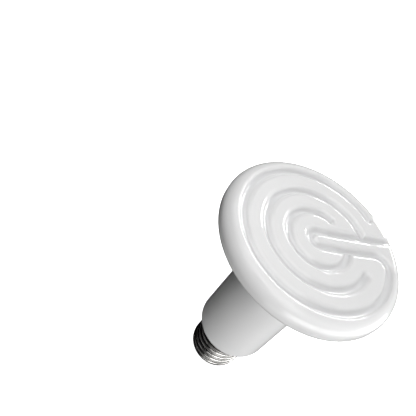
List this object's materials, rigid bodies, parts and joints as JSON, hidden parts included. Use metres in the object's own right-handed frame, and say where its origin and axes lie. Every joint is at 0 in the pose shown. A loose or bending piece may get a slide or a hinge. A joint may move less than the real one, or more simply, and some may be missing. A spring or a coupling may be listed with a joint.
{
  "type": "ceramic heat emitter",
  "caption": "White glazed ceramic heat emitter: a round, slightly dished disc with a maze of soft grooves on its face, a hollow neck and a screw cap.",
  "frame": {"origin": "tip of the centre contact, on the cap's axis", "axes": "+Z from the screw cap to the grooved face"},
  "size_m": [0.075, 0.075, 0.1044],
  "materials": {
    "glazed_ceramic": "white glaze, satin to gloss",
    "cement": "dull grey high temperature cement",
    "shell_metal": "bright nickel plate",
    "black_glass": "opaque black glass",
    "contact_metal": "plated brass",
    "weld_metal": "dull grey bead",
    "coil_wire": "oxidised resistance wire",
    "lead_wire": "drawn nickel wire",
    "lead_sleeve": "unglazed white tube"
  },
  "bodies": {
    "root": {"ceramic_body": "glazed_ceramic", "cap_cement": "cement", "screw_shell": "shell_metal", "cap_insulator": "black_glass", "centre_contact": "contact_metal", "contact_weld": "weld_metal", "heating_coil": "coil_wire", "centre_lead": "lead_wire", "shell_lead": "lead_wire", "centre_lead_sleeve": "lead_sleeve", "shell_lead_sleeve": "lead_sleeve"}
  },
  "joints": []
}
